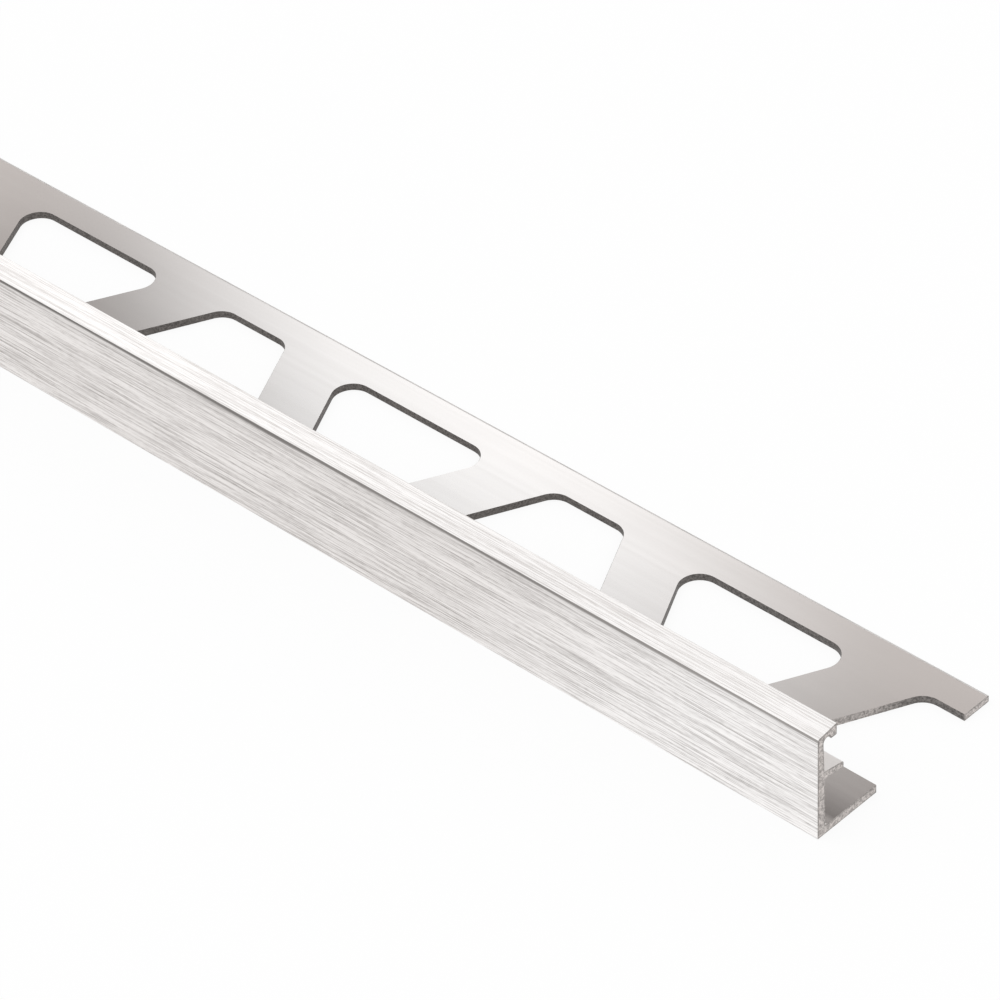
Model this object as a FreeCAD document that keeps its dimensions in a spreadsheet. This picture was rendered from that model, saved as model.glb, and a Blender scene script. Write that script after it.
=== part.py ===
"""Tile edge trim: a straight aluminium profile with a punched anchoring leg.

Millimetres. +X runs along the bar, +Y goes from the visible front face to the rear rim of the leg,
+Z is up. The leg lies flat on the floor and the origin is under the middle of the bar.
"""
import FreeCAD
import Part
import math
import os
import Sketcher

# The bar
bar_length = 1000.0
overall_height = 12.5  # underside of the leg to the top of the lip, the thickness of the tile
leg_width = 25.0  # front face to the rear rim of the leg
leg_root_thickness = 1.0  # leg where it leaves the wall
leg_rim_thickness = 0.8  # leg at its rear rim

# The wall behind the visible face
wall_thickness = 1.05  # below the fin
wall_above_fin = 0.95
wall_under_lip = 0.78

# The spacer fin on the back of the wall
fin_reach = 3.65  # front face to the tip of the fin
fin_top = 7.7  # underside of the leg to the top of the fin at its root
fin_drop = 0.5  # how far the top of the fin falls from root to tip
fin_root_thickness = 0.95
fin_tip_thickness = 0.8

# The lip over the wall, with a hook under its back edge and a groove in front of the hook
lip_depth = 2.65  # front face to the back of the lip
lip_rise = 0.38  # how far the lip climbs from front to back
hook_drop = 1.35  # top of the lip down to the foot of the hook
hook_foot = 0.8  # width of the flat foot of the hook
groove_drop = 0.85  # top of the lip down to the ceiling of the groove
groove_end = 1.55  # front face to where the groove ceiling meets the hook

# Roundings of the extruded edges
front_edge_radius = 0.3  # between the front face and the lip
groove_radius = 0.5  # groove ceiling to wall
inner_corner_radius = 0.3  # wall to leg
fin_tip_radius = 0.3
small_edge_radius = 0.12  # hook and rear rim

# The punched holes, trapezoids with their long side to the front and to the rear by turns
hole_spacing = 23.53  # middle of one hole to the middle of the next
hole_front = 8.4  # front face to the near side of every hole
hole_rear = 21.35  # front face to the far side of every hole
hole_narrow = 9.2  # short parallel side, from corner to corner before rounding
hole_wide = 22.1  # long parallel side, from corner to corner before rounding
hole_corner_radius = 2.2

cells = {
    "bar_length": bar_length,
    "overall_height": overall_height,
    "leg_width": leg_width,
    "leg_root_thickness": leg_root_thickness,
    "leg_rim_thickness": leg_rim_thickness,
    "wall_thickness": wall_thickness,
    "wall_above_fin": wall_above_fin,
    "wall_under_lip": wall_under_lip,
    "fin_reach": fin_reach,
    "fin_top": fin_top,
    "fin_drop": fin_drop,
    "fin_root_thickness": fin_root_thickness,
    "fin_tip_thickness": fin_tip_thickness,
    "lip_depth": lip_depth,
    "lip_rise": lip_rise,
    "hook_drop": hook_drop,
    "hook_foot": hook_foot,
    "groove_drop": groove_drop,
    "groove_end": groove_end,
    "front_edge_radius": front_edge_radius,
    "groove_radius": groove_radius,
    "inner_corner_radius": inner_corner_radius,
    "fin_tip_radius": fin_tip_radius,
    "small_edge_radius": small_edge_radius,
    "hole_spacing": hole_spacing,
    "hole_front": hole_front,
    "hole_rear": hole_rear,
    "hole_narrow": hole_narrow,
    "hole_wide": hole_wide,
    "hole_corner_radius": hole_corner_radius,
}

doc = FreeCAD.newDocument("tile_trim")
sheet = doc.addObject("Spreadsheet::Sheet", "Sizes")
for row, (alias, number) in enumerate(cells.items(), 1):
    sheet.set("A%d" % row, alias)
    sheet.set("B%d" % row, str(number))
    sheet.setAlias("B%d" % row, alias)
doc.recompute()


def total(*terms):
    """Add up cells, where a leading minus subtracts: the number and the matching expression."""
    number = 0.0
    expression = ""
    for term in terms:
        name = term.lstrip("-")
        sign = "-" if term.startswith("-") else "+"
        number += -cells[name] if sign == "-" else cells[name]
        expression += " %s Sizes.%s" % (sign, name)
    return number, expression.lstrip(" +")


body = doc.addObject("PartDesign::Body", "TrimProfile")
body.Label = "trim_profile"
body.setExpression("Placement.Base.y", "-Sizes.leg_width / 2")


def new_sketch(name, role):
    plane = [item for item in body.Origin.OriginFeatures if item.Role == role][0]
    sketch = body.newObject("Sketcher::SketchObject", name)
    sketch.AttachmentSupport = [(plane, "")]
    sketch.MapMode = "FlatFace"
    return sketch


def bind(sketch, kind, first, second, number, expression):
    """Add a dimension between two sketch points and tie it to the spreadsheet."""
    index = sketch.addConstraint(Sketcher.Constraint(kind, *first, *second, number))
    sketch.setExpression("Constraints[%d]" % index, expression)


ORIGIN = (-1, 1)
LEVEL = "Horizontal"
UPRIGHT = "Vertical"
SLOPED = ""

# Section of the profile, walked counterclockwise from the foot of the front face.
# Each corner has its distance from the front face, its height, and the line that leaves it.
face = (0.0, "")
floor = (0.0, "")
leg_rear = total("leg_width")
groove_ceiling = total("overall_height", "-groove_drop")
hook_bottom = total("overall_height", "-hook_drop")
section_corners = [
    ("face_foot", face, floor, LEVEL),
    ("rim_foot", leg_rear, floor, UPRIGHT),
    ("rim_top", leg_rear, total("leg_rim_thickness"), SLOPED),
    ("leg_root", total("wall_thickness"), total("leg_root_thickness"), UPRIGHT),
    ("fin_root_low", total("wall_thickness"), total("fin_top", "-fin_root_thickness"), SLOPED),
    ("fin_tip_low", total("fin_reach"), total("fin_top", "-fin_drop", "-fin_tip_thickness"), UPRIGHT),
    ("fin_tip_high", total("fin_reach"), total("fin_top", "-fin_drop"), SLOPED),
    ("fin_root_high", total("wall_above_fin"), total("fin_top"), SLOPED),
    ("groove_front", total("wall_under_lip"), groove_ceiling, LEVEL),
    ("groove_back", total("groove_end"), groove_ceiling, SLOPED),
    ("hook_inner", total("lip_depth", "-hook_foot"), hook_bottom, LEVEL),
    ("hook_outer", total("lip_depth"), hook_bottom, UPRIGHT),
    ("lip_back", total("lip_depth"), total("overall_height"), SLOPED),
    ("lip_front", face, total("overall_height", "-lip_rise"), UPRIGHT),
]
corner_at = {name: (across[0], up[0]) for name, across, up, leaves in section_corners}

section = new_sketch("Section", "YZ_Plane")
count = len(section_corners)
for index in range(count):
    start = corner_at[section_corners[index][0]]
    end = corner_at[section_corners[(index + 1) % count][0]]
    section.addGeometry(Part.LineSegment(FreeCAD.Vector(*start, 0), FreeCAD.Vector(*end, 0)), False)
for index in range(count):
    leaves = section_corners[index][3]
    section.addConstraint(Sketcher.Constraint("Coincident", index, 2, (index + 1) % count, 1))
    if leaves != SLOPED:
        section.addConstraint(Sketcher.Constraint(leaves, index))
section.addConstraint(Sketcher.Constraint("Coincident", 0, 1, *ORIGIN))
for index in range(1, count):
    name, across, up, leaves = section_corners[index]
    arrives = section_corners[index - 1][3]
    if arrives != UPRIGHT and across != face:
        bind(section, "DistanceX", ORIGIN, (index, 1), *across)
    if arrives != LEVEL:
        bind(section, "DistanceY", ORIGIN, (index, 1), *up)

bar = body.newObject("PartDesign::Pad", "Extrusion")
bar.Profile = section
bar.SideType = "Symmetric"
bar.setExpression("Length", "Sizes.bar_length")
section.Visibility = False
doc.recompute()


def long_edges(shape, names):
    """The edges that run along the bar through the named section corners."""
    found = []
    for number, edge in enumerate(shape.Edges, 1):
        ends = [vertex.Point for vertex in edge.Vertexes]
        if len(ends) != 2 or abs(ends[0].x - ends[1].x) < bar_length / 2:
            continue
        for name in names:
            across, up = corner_at[name]
            if math.hypot(ends[0].y - across, ends[0].z - up) < 0.01:
                found.append("Edge%d" % number)
    if len(found) != len(names):
        raise ValueError("edges not found for %s" % ", ".join(names))
    return found


def round_edges(label, feature, names, radius):
    fillet = body.newObject("PartDesign::Fillet", label)
    fillet.Base = (feature, long_edges(feature.Shape, names))
    fillet.setExpression("Radius", "Sizes." + radius)
    doc.recompute()
    return fillet


rounded = round_edges("FrontEdge", bar, ["lip_front"], "front_edge_radius")
rounded = round_edges("Groove", rounded, ["groove_front"], "groove_radius")
rounded = round_edges("InnerCorner", rounded, ["leg_root"], "inner_corner_radius")
rounded = round_edges("FinTip", rounded, ["fin_tip_low", "fin_tip_high"], "fin_tip_radius")
small_edges = ["hook_inner", "hook_outer", "rim_foot", "rim_top"]
rounded = round_edges("SmallEdges", rounded, small_edges, "small_edge_radius")


def hole_sketch(name, near_side, far_side, offset):
    """A trapezoid with rounded corners, upright on its own axis, moved along the bar by offset."""
    sketch = new_sketch(name, "XY_Plane")
    sketch.setExpression(".AttachmentOffset.Base.x", offset)
    near_half = cells[near_side] / 2
    far_half = cells[far_side] / 2
    corners = [
        FreeCAD.Vector(-near_half, hole_front, 0),
        FreeCAD.Vector(near_half, hole_front, 0),
        FreeCAD.Vector(far_half, hole_rear, 0),
        FreeCAD.Vector(-far_half, hole_rear, 0),
    ]
    # Lines 0 to 3 are the sharp trapezoid, for construction only.
    for index in range(4):
        sketch.addGeometry(Part.LineSegment(corners[index], corners[(index + 1) % 4]), True)
    for index in range(4):
        sketch.addConstraint(Sketcher.Constraint("Coincident", index, 2, (index + 1) % 4, 1))
    sketch.addConstraint(Sketcher.Constraint("Symmetric", 0, 1, 0, 2, -2))
    sketch.addConstraint(Sketcher.Constraint("Symmetric", 2, 1, 2, 2, -2))
    bind(sketch, "DistanceX", (0, 1), (0, 2), near_half * 2, "Sizes." + near_side)
    bind(sketch, "DistanceX", (2, 2), (2, 1), far_half * 2, "Sizes." + far_side)
    bind(sketch, "DistanceY", ORIGIN, (0, 1), hole_front, "Sizes.hole_front")
    bind(sketch, "DistanceY", ORIGIN, (2, 1), hole_rear, "Sizes.hole_rear")
    # Where each rounding starts and ends on the two sides of its corner, and its centre.
    roundings = []
    for index in range(4):
        corner = corners[index]
        back = (corners[index - 1] - corner).normalize()
        ahead = (corners[(index + 1) % 4] - corner).normalize()
        half_angle = back.getAngle(ahead) / 2
        setback = hole_corner_radius / math.tan(half_angle)
        inwards = (back + ahead).normalize() * (hole_corner_radius / math.sin(half_angle))
        roundings.append((corner + back * setback, corner + ahead * setback, corner + inwards))
    # Lines 4 to 7 are the straight sides and arcs 8 to 11 the rounded corners.
    for index in range(4):
        start = roundings[index][1]
        end = roundings[(index + 1) % 4][0]
        sketch.addGeometry(Part.LineSegment(start, end), False)
    for start, end, centre in roundings:
        circle = Part.Circle(centre, FreeCAD.Vector(0, 0, 1), hole_corner_radius)
        first = math.atan2(start.y - centre.y, start.x - centre.x)
        last = math.atan2(end.y - centre.y, end.x - centre.x)
        if last < first:
            last += 2 * math.pi
        sketch.addGeometry(Part.ArcOfCircle(circle, first, last), False)
    for index in range(4):
        sketch.addConstraint(Sketcher.Constraint("PointOnObject", 4 + index, 1, index))
        sketch.addConstraint(Sketcher.Constraint("PointOnObject", 4 + index, 2, index))
        sketch.addConstraint(Sketcher.Constraint("Tangent", 8 + index, 2, 4 + index, 1))
        sketch.addConstraint(Sketcher.Constraint("Tangent", 4 + index, 2, 8 + (index + 1) % 4, 1))
    radius = sketch.addConstraint(Sketcher.Constraint("Radius", 8, hole_corner_radius))
    sketch.setExpression("Constraints[%d]" % radius, "Sizes.hole_corner_radius")
    for index in range(1, 4):
        sketch.addConstraint(Sketcher.Constraint("Equal", 8, 8 + index))
    sketch.Visibility = False
    return sketch


def punch_row(label, near_side, far_side, first_at):
    """Punch one hole at first_at from the near end and repeat it to the far end of the bar."""
    sketch = hole_sketch(label + "Sketch", near_side, far_side, "Sizes.bar_length / 2 - " + first_at)
    before = body.Shape.Volume
    punch = body.newObject("PartDesign::Pocket", label)
    punch.Profile = sketch
    punch.SideType = "Symmetric"
    punch.setExpression("Length", "Sizes.leg_root_thickness * 4")
    doc.recompute()
    if punch.Shape.Volume >= before:
        raise ValueError("%s removes nothing" % label)
    row = body.newObject("PartDesign::LinearPattern", label + "Row")
    row.Originals = [punch]
    row.Direction = (sketch, ["H_Axis"])
    row.Reversed = True
    row.Mode = "Spacing"
    row.setExpression("Offset", "2 * Sizes.hole_spacing")
    reach = "(Sizes.bar_length + Sizes.hole_wide / 2 - %s)" % first_at
    row.setExpression("Occurrences", "floor(%s / (2 * Sizes.hole_spacing)) + 1" % reach)
    body.Tip = row
    doc.recompute()


# The near end of the bar is sawn through the middle of a hole with its long side to the front.
punch_row("HoleWideFront", "hole_wide", "hole_narrow", "0 * Sizes.hole_spacing")
punch_row("HoleWideRear", "hole_narrow", "hole_wide", "Sizes.hole_spacing")

for item in doc.Objects:
    if "Invalid" in item.State or "Error" in item.State:
        raise ValueError("%s did not compute" % item.Name)
    if item.isDerivedFrom("PartDesign::Feature") or item is body:
        if item.Shape.isNull() or not item.Shape.isValid():
            raise ValueError("%s has a bad shape" % item.Name)
if len(body.Shape.Solids) != 1:
    raise ValueError("the trim is one piece of metal")

os.makedirs("parts", exist_ok=True)
body.Shape.exportStep("parts/trim_profile.step")
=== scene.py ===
"""Looks of the tile edge trim: one brushed aluminium bar with a punched anchoring leg.

Metres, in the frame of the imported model. The section is written in millimetres, with y from the front
face to the rear rim of the leg and z up from the floor, as on a drawing of the profile.
"""
import math

import bmesh
import bpy
from mathutils import Matrix, Vector


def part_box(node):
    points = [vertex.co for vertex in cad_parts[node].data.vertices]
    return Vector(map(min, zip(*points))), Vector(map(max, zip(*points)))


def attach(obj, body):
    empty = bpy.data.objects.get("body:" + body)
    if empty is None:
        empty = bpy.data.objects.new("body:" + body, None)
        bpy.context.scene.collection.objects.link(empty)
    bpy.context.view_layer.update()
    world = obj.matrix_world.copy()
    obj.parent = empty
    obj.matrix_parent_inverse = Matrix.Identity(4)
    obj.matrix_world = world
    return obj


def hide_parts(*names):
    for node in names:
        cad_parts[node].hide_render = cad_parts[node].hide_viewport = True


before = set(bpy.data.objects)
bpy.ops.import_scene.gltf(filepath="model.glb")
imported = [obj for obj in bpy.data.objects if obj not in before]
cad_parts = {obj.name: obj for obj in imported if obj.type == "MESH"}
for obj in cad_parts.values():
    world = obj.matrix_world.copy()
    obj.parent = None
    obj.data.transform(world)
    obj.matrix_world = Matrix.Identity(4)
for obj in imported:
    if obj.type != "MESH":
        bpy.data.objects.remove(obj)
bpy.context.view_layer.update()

MM = 0.001

# The bar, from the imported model
bar_low, bar_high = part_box("trim_profile")
bar_end = bar_high[0] / MM  # the sawn end that the camera sees
far_end = bar_low[0] / MM
front_y = bar_low[1] / MM  # where the front face lies in the frame
leg_width = (bar_high[1] - bar_low[1]) / MM
overall_height = (bar_high[2] - bar_low[2]) / MM

# The section
leg_root_thickness, leg_rim_thickness = 1.0, 0.8
wall_thickness, wall_above_fin, wall_under_lip = 1.05, 0.95, 0.78
fin_reach, fin_top, fin_drop = 3.65, 7.7, 0.5
fin_root_thickness, fin_tip_thickness = 0.95, 0.8
lip_depth, lip_rise = 2.65, 0.38
hook_drop, hook_foot = 1.35, 0.8
groove_drop, groove_end = 0.85, 1.55
front_edge_radius, groove_radius, inner_corner_radius = 0.3, 0.5, 0.3
fin_tip_radius, small_edge_radius = 0.3, 0.12
die_edge = 0.05  # what a die leaves on an edge that the drawing calls sharp
least_radius = 0.004  # of a rounding that an inset has used up
burr = 0.03  # broken edge round the punched holes and the sawn ends
saw_outline = 0.14  # darker band along the edge of a sawn end
rim_line_width = 0.24  # of the greyer line along the rim's upper edge

# The punched holes, turned round by turns
hole_spacing = 23.53
hole_front, hole_rear = 8.4, 21.35
hole_wide, hole_narrow = 22.1, 9.2
hole_corner_radius = 2.2

# Straight steps that a rounding is drawn with
die_steps, small_edge_steps, corner_steps, groove_steps, hole_corner_steps = 3, 5, 8, 10, 18

# Finishes, in the order of the mesh's material slots
BRUSHED, LIP, RIM_LINE, SATIN, PUNCHED, OPENED, SAWN, SAWN_EDGE = range(8)


def leg_top(y):
    """Height of the top of the leg, which thins from the wall to the rim."""
    thinning = (leg_root_thickness - leg_rim_thickness) / (leg_width - wall_thickness)
    return leg_root_thickness - thinning * (y - wall_thickness)


def sawn_corner(y, z):
    """A corner of a sawn end where the saw met the wall of a hole: a broken edge, so one straight step."""
    return (y, z, burr, 1, SAWN_EDGE)


# Corners of the section: y, z, rounding, steps of the rounding, finish of the stretch up to the next corner
BOTTOM_FRONT = (0.0, 0.0, die_edge, die_steps, SATIN)
RIM_BOTTOM = (leg_width, 0.0, small_edge_radius, small_edge_steps, SATIN)
RIM_TOP = (leg_width, leg_rim_thickness, small_edge_radius, small_edge_steps, SATIN)
FRONT_EDGE = (0.0, overall_height - lip_rise, front_edge_radius, corner_steps, BRUSHED)
RIM = [RIM_BOTTOM, RIM_TOP]
UPPER = [
    (wall_thickness, leg_root_thickness, inner_corner_radius, corner_steps, SATIN),
    (wall_thickness, fin_top - fin_root_thickness, die_edge, die_steps, SATIN),
    (fin_reach, fin_top - fin_drop - fin_tip_thickness, fin_tip_radius, corner_steps, SATIN),
    (fin_reach, fin_top - fin_drop, fin_tip_radius, corner_steps, SATIN),
    (wall_above_fin, fin_top, die_edge, die_steps, SATIN),
    (wall_under_lip, overall_height - groove_drop, groove_radius, groove_steps, SATIN),
    (groove_end, overall_height - groove_drop, die_edge, die_steps, SATIN),
    (lip_depth - hook_foot, overall_height - hook_drop, small_edge_radius, small_edge_steps, SATIN),
    (lip_depth, overall_height - hook_drop, small_edge_radius, small_edge_steps, SATIN),
    (lip_depth, overall_height, die_edge, die_steps, LIP),
    FRONT_EDGE,
]


def rounded(corners, inset=0.0):
    """The closed outline as (y, z, finish of the side that starts there), moved inwards by inset.

    The corners run anticlockwise, so a corner that turns left is convex. Every inset has the same number
    of points, which lets two of them be joined by a ring of faces. The lower half of the front edge's
    rounding has the face's finish, and the rim's upper edge has a finish of its own.
    """
    outline = []
    for i, corner in enumerate(corners):
        y, z, radius, steps, finish = corner
        here = Vector((y, z))
        back = (Vector(corners[i - 1][:2]) - here).normalized()
        ahead = (Vector(corners[(i + 1) % len(corners)][:2]) - here).normalized()
        convex = back.cross(ahead) < 0
        half = back.angle(ahead) / 2
        bisector = (back + ahead).normalized()
        inward = bisector if convex else -bisector
        here = here + inward * (inset / math.sin(half))
        radius = max(radius - inset, least_radius) if convex else radius + inset
        centre = here + bisector * (radius / math.sin(half))
        first = here + back * (radius / math.tan(half)) - centre
        turn = (math.pi - 2 * half) * (1 if convex else -1)
        for step in range(steps + 1):
            place = centre + Matrix.Rotation(turn * step / steps, 2) @ first
            if corner == RIM_TOP:
                side = RIM_LINE
            elif step == steps or (corner == FRONT_EDGE and step >= steps / 2):
                side = finish
            else:
                side = corners[i - 1][4]
            outline.append((place.x, place.y, side))
        if corner == RIM_TOP:
            line_front = leg_width - rim_line_width
            outline.append((line_front, leg_top(line_front) - inset, finish))
    return outline


whole_section = [BOTTOM_FRONT] + RIM + UPPER
# The sawn end runs through the middle of a hole, which leaves the front part and the rim of the leg
front_wall = [sawn_corner(hole_front, 0.0), sawn_corner(hole_front, leg_top(hole_front))]
front_part = [BOTTOM_FRONT] + front_wall + UPPER
rim_part = [sawn_corner(hole_rear, 0.0)] + RIM + [sawn_corner(hole_rear, leg_top(hole_rear))]

# The outline without the leg's top and underside, in two chains; the rim's line has a point more
section_outline = rounded(whole_section)
bottom_front_points = die_steps + 1
rim_points = len(RIM) * (small_edge_steps + 1) + 1
rim_end = bottom_front_points + rim_points
rim_chain = section_outline[bottom_front_points:rim_end]
body_chain = section_outline[rim_end:] + section_outline[:bottom_front_points]

# One closed mesh, of strips along the bar and of a cell of the leg between every two holes
mesh = bmesh.new()
vertices = {}


def point(x, y, z):
    """The vertex at a place of the drawing, made once."""
    key = (round(x, 4), round(y, 4), round(z, 4))
    if key not in vertices:
        vertices[key] = mesh.verts.new((x * MM, (y + front_y) * MM, z * MM))
    return vertices[key]


def face(places, finish):
    """One face through these places, without those that fall together."""
    corners = []
    for place in places:
        vertex = point(*place)
        if vertex not in corners:
            corners.append(vertex)
    if len(corners) > 2:
        mesh.faces.new(corners).material_index = finish


def hole_side(number, side, grow):
    """Half of a hole's outline, as offsets in x from its middle and places in y, from front to rear."""
    wide_in_front = number % 2 == 0
    front_half = (hole_wide if wide_in_front else hole_narrow) / 2
    rear_half = (hole_narrow if wide_in_front else hole_wide) / 2
    lean = math.atan2(front_half - rear_half, hole_rear - hole_front)
    across, along = math.cos(lean), math.sin(lean)
    radius = hole_corner_radius
    front_centre = Vector((front_half - radius * (1 + along) / across, hole_front + radius))
    rear_centre = Vector((rear_half - radius * (1 - along) / across, hole_rear - radius))
    places = []
    for centre, start, end in ((front_centre, -math.pi / 2, lean), (rear_centre, lean, math.pi / 2)):
        for step in range(hole_corner_steps + 1):
            angle = start + (end - start) * step / hole_corner_steps
            places.append(centre + Vector((math.cos(angle), math.sin(angle))) * (radius + grow))
    return [(side * place.x, place.y) for place in places]


# Places along the bar where the cells meet: the middles of the holes, and the two sawn ends
hole_count = int((bar_end - far_end) / hole_spacing) + 1
middles = [bar_end - hole_spacing * number for number in range(hole_count)]
stations = [bar_end - burr] + middles[1:] + [far_end + burr]

for chain in (rim_chain, body_chain):
    for (y0, z0, finish), (y1, z1, _) in zip(chain, chain[1:]):
        for x0, x1 in zip(stations, stations[1:]):
            face([(x0, y0, z0), (x0, y1, z1), (x1, y1, z1), (x1, y0, z0)], finish)

top_front, top_rear = body_chain[0][0], rim_chain[-1][0]
under_front, under_rear = body_chain[-1][0], rim_chain[0][0]
for number, (x0, x1) in enumerate(zip(stations, stations[1:])):
    # The holes at the cell's two sides, of which it has one half each; the last cell has no second one.
    # A hole's outline is taken from its own middle, also where the bar is sawn through it.
    holes = []
    for hole, side, x in ((number, -1, x0), (number + 1, 1, x1)):
        if hole < hole_count:
            tight, wide = [
                [(x, hole_front - grow)]
                + [(middles[hole] + dx, y) for dx, y in hole_side(hole, side, grow)]
                + [(x, hole_rear + grow)]
                for grow in (0.0, burr)
            ]
            holes.append((tight, wide, OPENED if hole == 0 else PUNCHED))
    near = holes[0][1]
    far = holes[1][1] if len(holes) > 1 else []
    for front, rear, height in (
        (top_front, top_rear, leg_top),
        (under_front, under_rear, lambda y: 0.0),
    ):
        loop = [(x0, front)] + near + [(x0, rear), (x1, rear)] + far[::-1] + [(x1, front)]
        face([(x, y, height(y)) for x, y in loop], SATIN)
    for tight, wide, finish in holes:
        for inner, outer in zip(zip(tight, tight[1:]), zip(wide, wide[1:])):
            above = [(x, y, leg_top(y)) for x, y in outer]
            upper = [(x, y, leg_top(y) - burr) for x, y in inner]
            lower = [(x, y, burr) for x, y in inner]
            below = [(x, y, 0.0) for x, y in outer]
            for high, low in ((above, upper), (upper, lower), (lower, below)):
                face([high[0], high[1], low[1], low[0]], finish)


def sawn_end(corners, x, inwards):
    """A sawn face: its broken edge, the darker band along it and the cut itself."""
    rings = [
        [(x + inwards * burr, y, z) for y, z, _ in rounded(corners)],
        [(x, y, z) for y, z, _ in rounded(corners, burr)],
        [(x, y, z) for y, z, _ in rounded(corners, burr + saw_outline)],
    ]
    for outer, inner in zip(rings, rings[1:]):
        for i in range(len(outer)):
            face([outer[i - 1], outer[i], inner[i], inner[i - 1]], SAWN_EDGE)
    face(rings[-1], SAWN)


sawn_end(front_part, bar_end, -1)
sawn_end(rim_part, bar_end, -1)
sawn_end(whole_section, far_end, 1)

same_place, no_length = 2e-6, 1e-7  # metres
bmesh.ops.remove_doubles(mesh, verts=mesh.verts, dist=same_place)
bmesh.ops.dissolve_degenerate(mesh, edges=mesh.edges, dist=no_length)
bmesh.ops.triangulate(mesh, faces=[f for f in mesh.faces if len(f.verts) > 4])
bmesh.ops.recalc_face_normals(mesh, faces=mesh.faces)

sharp_angle = math.radians(35)
flat_faces_weight = 100
bar_mesh = bpy.data.meshes.new("trim_bar")
mesh.to_mesh(bar_mesh)
mesh.free()
bar_mesh.polygons.foreach_set("use_smooth", [True] * len(bar_mesh.polygons))
bar_mesh.set_sharp_from_angle(angle=sharp_angle)
bar = bpy.data.objects.new("trim_bar", bar_mesh)
bpy.context.collection.objects.link(bar)
weigh = bar.modifiers.new("flat faces lead", "WEIGHTED_NORMAL")
weigh.keep_sharp = True
weigh.weight = flat_faces_weight


class Sheet:
    """The nodes of one material, or of the world, with short calls to add them."""

    def __init__(self, name, world=None):
        self.owner = world or bpy.data.materials.new(name)
        self.owner.use_nodes = True
        self.tree = self.owner.node_tree
        self.tree.nodes.clear()

    def feed(self, socket, value):
        """Link another node's output to the socket, or set its number or colour."""
        if isinstance(value, bpy.types.NodeSocket):
            self.tree.links.new(value, socket)
        else:
            socket.default_value = value

    def add(self, kind, inputs=None, **settings):
        node = self.tree.nodes.new("ShaderNode" + kind)
        for key, value in settings.items():
            setattr(node, key, value)
        for key, value in (inputs or {}).items():
            self.feed(node.inputs[key], value)
        return node

    def maths(self, operation, *values):
        return self.add("Math", dict(enumerate(values)), operation=operation).outputs[0]

    def vector_maths(self, operation, inputs, output="Value"):
        return self.add("VectorMath", inputs, operation=operation).outputs[output]

    def mapped(self, vector, **settings):
        """The vector scaled, then turned, then moved."""
        return self.add("Mapping", {"Vector": vector, **settings}).outputs[0]

    def own_place(self):
        """The point itself, in the object's own metres."""
        return self.add("TexCoord").outputs["Object"]

    def place(self, axis):
        """The point's own x, y or z."""
        return self.add("SeparateXYZ", {0: self.own_place()}).outputs[axis]

    def noise(self, size, detail=2.0, shift=(0.0, 0.0, 0.0)):
        """Noise from 0 to 1 whose blotches measure about size, in metres along x, y and z."""
        scaled = self.mapped(self.own_place(), Location=shift, Scale=[1 / s for s in size])
        return self.add("TexNoise", {"Vector": scaled, "Scale": 1.0, "Detail": detail}).outputs["Fac"]

    def between(self, value, low, high, start=0.0, end=1.0):
        """value taken from low to high, to start to end, and held there."""
        limits = {"From Min": low, "From Max": high, "To Min": start, "To Max": end}
        return self.add("MapRange", {"Value": value, **limits}).outputs[0]

    def varied(self, noise, reach, start=0.0, end=1.0):
        """Noise taken from reach below its middle to reach above it, to start to end."""
        return self.between(noise, 0.5 - reach, 0.5 + reach, start, end)

    def blend(self, factor, first, second):
        """One colour at factor 0, the other at 1. The colours' sockets are the Mix node's 6 and 7."""
        return self.add("Mix", {0: factor, 6: first, 7: second}, data_type="RGBA").outputs[2]

    def metal(self, colour, roughness, relief, depth, strength):
        """Finish the material as metal, with a relief of this depth in metres."""
        shader = self.add("BsdfPrincipled", {"Base Color": colour, "Metallic": 1.0, "Roughness": roughness})
        bump = self.add("Bump", {"Height": relief, "Strength": strength, "Distance": depth})
        self.feed(shader.inputs["Normal"], bump.outputs[0])
        self.add("OutputMaterial", {"Surface": shader.outputs[0]})
        return self.owner


green_loss, blue_loss = 0.018, 0.028  # of a grey at warmth 1


def grey(level, warmth=1.0):
    """The aluminium's slightly warm grey at this level."""
    return (level, level * (1 - green_loss * warmth), level * (1 - blue_loss * warmth), 1.0)


# The sizes of noises, the depths of reliefs and the brushing's lengths and widths are metres.

# The brushing, and each layer of scratches: its share of the tone, length, width and shift of its noise
broad_bands, bands_share = (0.03, 0.0016, 0.0016), 0.12
scratch_layers = (
    (0.20, 0.0008, 0.00005, (4.0, 2.0, 6.0)),
    (0.36, 0.0045, 0.00011, (7.0, 3.0, 5.0)),
    (0.32, 0.016, 0.0001, (1.0, 9.0, 4.0)),
)
darkest_sum, lightest_sum = 0.145, 0.622  # of the layers together
dark_warmth, light_warmth = 2.6, 1.2
brushing_depth, brushing_strength, gloss_spread = 0.000003, 0.4, 0.06

# The painted shade along the front edge, a dark line, with its heights and places in millimetres
line_foot_low, line_foot_high = 11.65, 11.85  # between which its foot wanders
line_fade_low, line_fade_high = -0.14, 0.1  # from the foot, where the line starts and is full
line_wander = (0.03, 0.02, 0.02)
shade_zone_low, shade_zone_high, shade_zone_share = 9.8, 11.5, 0.14  # of the face below it
line_fades_from, line_fades_to = 50.0, 10.0  # from the sawn end, where it turns paler
line_change = (0.055, 0.02, 0.02)
line_dark, line_pale, line_end_grey = grey(0.16, 3.0), grey(0.32, 3.0), grey(0.37, 3.0)


def edge_shade_tone(nodes):
    """The grey of the painted shade along the front edge, paler towards the sawn end."""
    change = nodes.noise(line_change, shift=(0.3, 0.0, 0.0))
    tone = nodes.blend(nodes.varied(change, 0.15), line_dark, line_pale)
    # The painted shade turns paler towards the sawn end
    toward_end = nodes.between(nodes.place("X"), (bar_end - line_fades_from) * MM, (bar_end - line_fades_to) * MM)
    return nodes.blend(toward_end, tone, line_end_grey)


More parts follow.
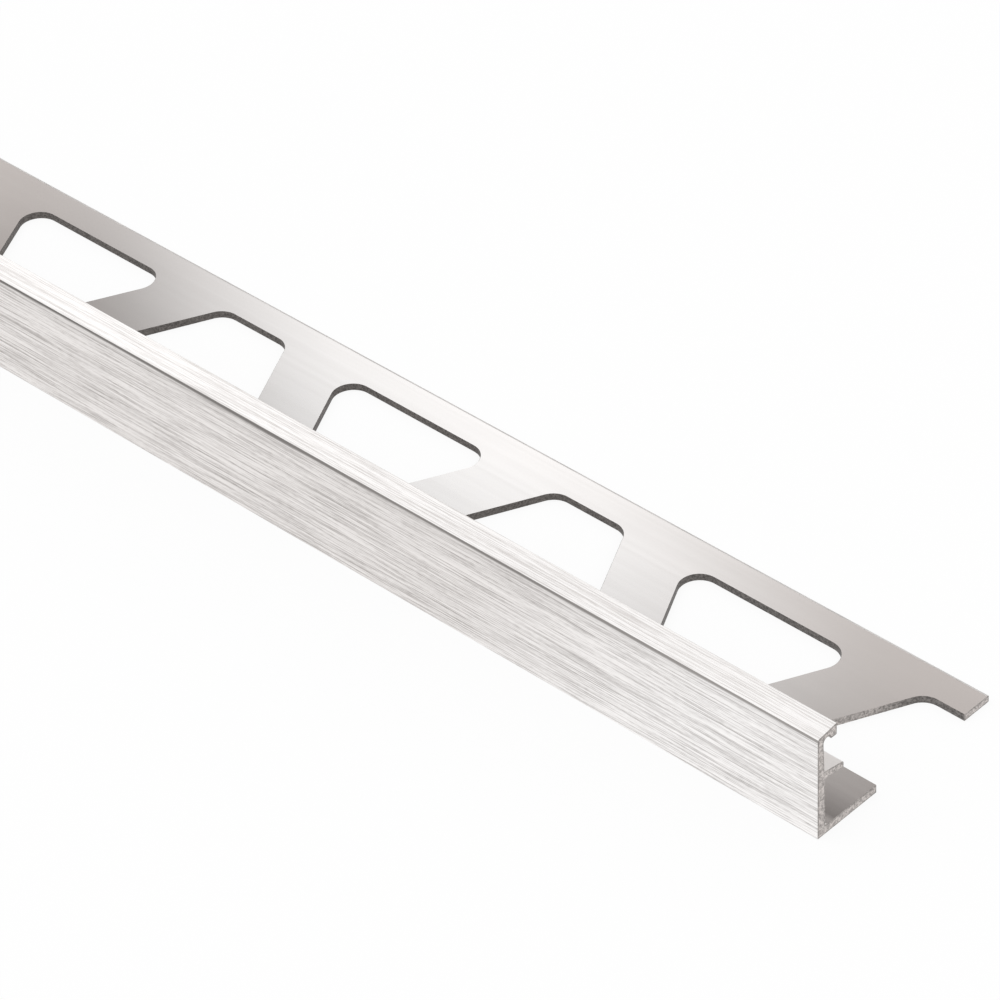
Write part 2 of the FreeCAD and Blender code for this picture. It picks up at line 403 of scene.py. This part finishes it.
def brushed(name, dark, light, roughness, stroke, edge_shaded):
    """Brushed along the bar: short fine scratches, stroke times their length, over broad faint bands.

    On the face, a painted shade runs along the front edge, with a fainter painted shade just under it.
    """
    nodes = Sheet(name)
    level = nodes.varied(nodes.noise(broad_bands), 0.2, 0.0, bands_share)
    for share, length, width, shift in scratch_layers:
        scratches = nodes.noise((length * stroke, width, width), detail=0.0, shift=shift)
        level = nodes.maths("ADD", level, nodes.varied(scratches, 0.25, 0.0, share))
    level = nodes.between(level, darkest_sum, lightest_sum)
    colour = nodes.blend(level, grey(dark, dark_warmth), grey(light, light_warmth))
    # The painted shade along the front edge, and the fainter painted shade under it
    if edge_shaded:
        wander = nodes.noise(line_wander, shift=(0.1, 0.0, 0.0))
        foot = nodes.varied(wander, 0.15, line_foot_low * MM, line_foot_high * MM)
        over_foot = nodes.maths("SUBTRACT", nodes.place("Z"), foot)
        line = nodes.between(over_foot, line_fade_low * MM, line_fade_high * MM)
        start, full = shade_zone_low * MM, shade_zone_high * MM
        shade_below_line = nodes.between(nodes.place("Z"), start, full, 0.0, shade_zone_share)
        colour = nodes.blend(nodes.maths("MAXIMUM", line, shade_below_line), colour, edge_shade_tone(nodes))
    rough = nodes.between(level, 0.0, 1.0, roughness + gloss_spread, roughness - gloss_spread)
    return nodes.metal(colour, rough, level, brushing_depth, brushing_strength)


# The satin
drawn_lines, drawn_depth, drawn_strength = (0.25, 0.0006, 0.0006), 0.000001, 0.02
clouding, cloud_dark, cloud_light = (0.012, 0.004, 0.004), grey(0.787), grey(0.813)
smoothest, least_smooth = 0.075, 0.09  # the leg's roughness
# Painted shade on the leg beside the wall's inner corner
corner_shade_grey = grey(0.51, 1.3)
# Its zones, in millimetres behind the front face or above the floor
corner_shade_band = (1.9, 2.5, 6.0)  # beside the inner corner: where the painted shade on the leg starts, is full and ends
leg_zone_low, leg_zone_high = 1.2, 1.6  # above which the band is gone
back_zone_low, back_zone_high, back_roughness = 1.5, 3.0, 0.24  # over the leg the metal is rougher


def satin():
    """As it left the die and the anodising bath, with faint drawn lines and clouding.

    The leg is smooth, with a painted shade beside the inner corner. The back of the wall, the fin and the
    hook are rougher.
    """
    nodes = Sheet("satin_aluminium")
    drawn = nodes.noise(drawn_lines)
    cloud = nodes.noise(clouding, detail=3.0, shift=(2.0, 2.0, 2.0))
    colour = nodes.blend(nodes.varied(cloud, 0.2), cloud_dark, cloud_light)
    # The painted shade beside the inner corner
    start, full, end = [(front_y + y) * MM for y in corner_shade_band]
    rising = nodes.between(nodes.place("Y"), start, full)
    falling = nodes.between(nodes.place("Y"), full, end, 1.0, 0.0)
    on_leg = nodes.between(nodes.place("Z"), leg_zone_low * MM, leg_zone_high * MM, 1.0, 0.0)
    band = nodes.maths("MULTIPLY", nodes.maths("MULTIPLY", rising, falling), on_leg)
    colour = nodes.blend(band, colour, corner_shade_grey)
    rough = nodes.varied(drawn, 0.2, smoothest, least_smooth)
    behind = nodes.between(nodes.place("Z"), back_zone_low * MM, back_zone_high * MM, 0.0, back_roughness)
    return nodes.metal(colour, nodes.maths("ADD", rough, behind), drawn, drawn_depth, drawn_strength)


# The punched and the sawn metal
coarse_to_fine = 2.5
speckle_warmth, speckle_strength = 4.0, 0.6
# Where the painted light on the opened hole's wall fades out
opened_rear_from, opened_rear_to = 16.0, 20.0  # mm behind the front face, where the paler wall ends


def speckled(name, dark, light, roughness, grain, depth, paler=1.0):
    """Torn or sawn metal: grains of two sizes, some dark and some catching the light.

    With paler above 1, its front part is that many times as pale: painted light where the sawn end opens a
    hole.
    """
    nodes = Sheet(name)
    coarse = nodes.noise((grain,) * 3, detail=1.0)
    fine = nodes.noise((grain / coarse_to_fine,) * 3, detail=1.0, shift=(5.0, 1.0, 3.0))
    mean = nodes.maths("MULTIPLY", nodes.maths("ADD", coarse, fine), 0.5)
    level = nodes.varied(mean, 0.12)
    colour = nodes.blend(level, grey(dark, speckle_warmth), grey(light, speckle_warmth))
    # Painted light on the front part of the wall
    if paler > 1.0:
        pale = [grey(tone * paler, speckle_warmth) for tone in (dark, light)]
        front = nodes.blend(level, *pale)
        start, end = (front_y + opened_rear_from) * MM, (front_y + opened_rear_to) * MM
        colour = nodes.blend(nodes.between(nodes.place("Y"), start, end), front, colour)
    return nodes.metal(colour, roughness, level, depth, speckle_strength)


rim_grain, rim_dark, rim_light = (0.004, 0.0004, 0.0004), grey(0.62, 1.5), grey(0.74, 1.5)
rim_roughness, rim_depth, rim_strength = 0.7, 0.000004, 0.3


def rim_edge():
    """The rim's upper edge, a thin greyer line."""
    nodes = Sheet("edge_aluminium")
    grain = nodes.noise(rim_grain)
    tone = nodes.blend(nodes.varied(grain, 0.2), rim_dark, rim_light)
    return nodes.metal(tone, rim_roughness, grain, rim_depth, rim_strength)


for material in (
    brushed("brushed_aluminium", 0.47, 1.0, roughness=0.34, stroke=1.0, edge_shaded=True),
    brushed("brushed_lip_aluminium", 0.69, 0.98, roughness=0.24, stroke=1.5, edge_shaded=False),
    rim_edge(),
    satin(),
    # The punched walls' dark grey is partly the sheared metal's own and partly painted shade inside the
    # holes
    speckled("punched_shaded_aluminium", 0.10, 0.22, roughness=0.5, grain=0.00025, depth=0.00002),
    # The opened hole's wall: painted light on its front part, the punched walls' tone behind it
    speckled("opened_lit_aluminium", 0.10, 0.25, roughness=0.45, grain=0.00025, depth=0.00002, paler=2.2),
    speckled("sawn_aluminium", 0.30, 0.72, roughness=0.45, grain=0.0004, depth=0.00002),
    speckled("sawn_edge_aluminium", 0.24, 0.48, roughness=0.4, grain=0.0003, depth=0.00001),
):
    bar_mesh.materials.append(material)

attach(bar, "root")
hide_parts("trim_profile")

# The camera, at the photograph's viewing angle
eye = Vector((0.710796, -0.264236, 0.306474))
view_right = Vector((0.7319792, 0.6801795, -0.0395258))
view_up = Vector((-0.4059722, 0.4820087, 0.7764369))
lens_data = bpy.data.cameras.new("camera")
lens_data.lens = 176.163
lens_data.sensor_width = 36.0
lens_data.clip_start, lens_data.clip_end = 0.01, 100.0


def standing(place, right, up):
    """The matrix of an object at this place, with its x and y axes along right and up."""
    axes = Matrix((right, up, right.cross(up))).transposed().to_4x4()
    return Matrix.Translation(place) @ axes


camera = bpy.data.objects.new("camera", lens_data)
camera.matrix_world = standing(eye, view_right, view_up)
bpy.context.collection.objects.link(camera)
bpy.context.scene.camera = camera


def square(name, half_width, height=0.0):
    """A flat square of the studio."""
    corners = [(x * half_width, y * half_width, height) for x, y in ((-1, -1), (1, -1), (1, 1), (-1, 1))]
    square_mesh = bpy.data.meshes.new(name)
    square_mesh.from_pydata(corners, [], [(0, 1, 2, 3)])
    made = bpy.data.objects.new(name, square_mesh)
    bpy.context.collection.objects.link(made)
    return made


def direction(heading, height):
    """The way from the bar to a place at this heading, clockwise from +Y, and this height, in radians."""
    level = math.cos(height)
    return Vector((math.sin(heading) * level, math.cos(heading) * level, math.sin(height)))


def seen_rays(nodes):
    """Two outputs: 1 on the camera's own rays, and 1 on those and on mirrored and refracted rays."""
    path = nodes.add("LightPath").outputs
    camera_ray = path["Is Camera Ray"]
    further = nodes.maths("MAXIMUM", path["Is Glossy Ray"], path["Is Transmission Ray"])
    return camera_ray, nodes.maths("MAXIMUM", camera_ray, further)


WHITE = (1.0, 1.0, 1.0, 1.0)

# The floor: white to the camera, with part of its own light and shade left in
floor_half_width = 30.0
floor_height = -0.00003  # just under the bar, so that no two faces share a plane
floor_white_share = 0.9
floor_colour = (0.9, 0.9, 0.9, 1.0)
floor = square("floor", floor_half_width, floor_height)
nodes = Sheet("pale_floor")
camera_ray, seen = seen_rays(nodes)
# A painted shade: what the metal mirrors of the floor is a little darker away from the sawn end
mirrored_dark = (0.865, 0.85, 0.84, 1.0)
pale_from, pale_to = 50.0, 20.0  # mm from the sawn end
paleness = nodes.between(nodes.place("X"), (bar_end - pale_from) * MM, (bar_end - pale_to) * MM)
mirrored = nodes.blend(paleness, mirrored_dark, WHITE)
shown = nodes.blend(camera_ray, mirrored, WHITE)
lit = nodes.add("BsdfDiffuse", {"Color": floor_colour})
glowing = nodes.add("Emission", {"Color": shown, "Strength": 1.0})
share = nodes.maths("MULTIPLY", seen, floor_white_share)
mixed = nodes.add("MixShader", {0: share, 1: lit.outputs[0], 2: glowing.outputs[0]})
nodes.add("OutputMaterial", {"Surface": mixed.outputs[0]})
floor.data.materials.append(nodes.owner)

# The world: white behind everything, a plain level of light on the bar and the floor
world_light = 0.9
world = bpy.data.worlds.new("studio")
bpy.context.scene.world = world
nodes = Sheet("studio", world)
_, seen = seen_rays(nodes)
strength = nodes.between(seen, 0.0, 1.0, world_light, 1.0)
light = nodes.add("Background", {"Color": WHITE, "Strength": strength})
nodes.add("OutputWorld", {"Surface": light.outputs[0]})

# A soft panel that only the metal sees, straight in the leg's mirror direction. It is dark with one bright
# oval and a paler far corner, so that the leg runs from mid grey to white and back along the bar. Outside
# what the photograph's view mirrors it is white, as the rest of the studio is.
panel_heading, panel_height = math.radians(-44.8), math.radians(37.7)
panel_distance = 20.0
degree = panel_distance * math.radians(1.0)  # metres on the panel
panel_reach = 27.0  # degrees from the middle of its bright oval to its sides
oval_turn = -0.534  # radians
oval_length, oval_width = 4.42, 1.45  # degrees
oval_edge = 3.18  # the higher, the harder its edge
oval_glow = (0.805, 0.838, 0.855)
# The ground round the oval: its level, how it changes per degree of heading and height, and its limits
ground_level, ground_slope = 0.44, (0.0997, -0.169, 0.0)
ground_low, ground_high = 0.27, 0.70
far_corner_slope, far_corner_start = (-0.12, -0.12, 0.0), 0.955
ground_dark_level, ground_dark = 0.135, (0.135, 0.118, 0.11, 1.0)
ground_pale = (0.71, 0.662, 0.637, 1.0)
view_middle = (4.8, -6.7)  # degrees from the oval's middle
view_inner, view_outer = 12.0, 18.0  # degrees from the view's middle, between which it turns white

toward = direction(panel_heading, panel_height)
panel_side = Vector((math.cos(panel_heading), -math.sin(panel_heading), 0.0))
panel = square("panel", panel_reach * degree)
panel_place = Vector((bar_end * MM, front_y * MM, 0.0)) + toward * panel_distance
panel.matrix_world = standing(panel_place, panel_side, panel_side.cross(toward))
for ray in ("camera", "diffuse", "transmission", "volume_scatter", "shadow"):
    setattr(panel, "visible_" + ray, False)
nodes = Sheet("panel")
# Degrees of heading and height from the middle of the oval
narrowing = math.cos(panel_height)
degrees = nodes.mapped(nodes.own_place(), Scale=(1 / (degree * narrowing), 1 / degree, 1.0))
turned = nodes.mapped(degrees, Rotation=(0.0, 0.0, oval_turn))
oval = nodes.mapped(turned, Scale=(1 / oval_length, 1 / oval_width, 1.0))
from_oval = nodes.vector_maths("LENGTH", {0: oval})
fall = nodes.maths("MULTIPLY", nodes.maths("POWER", from_oval, oval_edge), -0.5)
glow = nodes.vector_maths("SCALE", {0: oval_glow, 3: nodes.maths("EXPONENT", fall)}, "Vector")
slope = nodes.vector_maths("DOT_PRODUCT", {0: degrees, 1: ground_slope})
ground = nodes.maths("MAXIMUM", nodes.maths("ADD", slope, ground_level), ground_low)
lift = nodes.vector_maths("DOT_PRODUCT", {0: degrees, 1: far_corner_slope})
lift = nodes.maths("MAXIMUM", nodes.maths("SUBTRACT", lift, far_corner_start), 0.0)
ground = nodes.maths("MINIMUM", nodes.maths("ADD", ground, lift), ground_high)
ground = nodes.blend(nodes.between(ground, ground_dark_level, ground_high), ground_dark, ground_pale)
tone = nodes.vector_maths("ADD", {0: glow, 1: ground}, "Vector")
from_view = nodes.mapped(degrees, Location=(-view_middle[0], -view_middle[1], 0.0))
from_view = nodes.mapped(from_view, Scale=(narrowing, 1.0, 1.0))
from_view = nodes.vector_maths("LENGTH", {0: from_view})
in_view = nodes.between(from_view, view_inner, view_outer, 1.0, 0.0)
glowing = nodes.add("Emission", {"Color": nodes.blend(in_view, WHITE, tone), "Strength": 1.0})
nodes.add("OutputMaterial", {"Surface": glowing.outputs[0]})
panel.data.materials.append(nodes.owner)


def soft_lamp(name, shape, size, energy, place, way):
    """A soft lamp at this place that shines this way."""
    lamp_data = bpy.data.lights.new(name, "AREA")
    lamp_data.shape, lamp_data.size, lamp_data.energy = shape, size, energy
    lamp = bpy.data.objects.new(name, lamp_data)
    lamp.location = place
    lamp.rotation_euler = way.to_track_quat("-Z", "Y").to_euler()
    bpy.context.collection.objects.link(lamp)
    return lamp


# A large soft lamp overhead
overhead, aim = Vector((-0.6, -1.2, 3.0)), Vector((0.4, 0.0, 0.0))
softbox = soft_lamp("softbox", "SQUARE", size=3.0, energy=25.0, place=overhead, way=aim - overhead)
softbox.visible_glossy = False

# A faint soft lamp in the lip's mirror direction
sheen_distance = 3.0
sheen_way = direction(math.radians(-70.0), math.radians(40.0))
sheen_place = Vector((bar_end * MM, 0.0, 0.0)) + sheen_way * sheen_distance
soft_lamp("sheen", "DISK", size=1.2, energy=0.36, place=sheen_place, way=-sheen_way)

bpy.context.scene.view_settings.view_transform = "Standard"
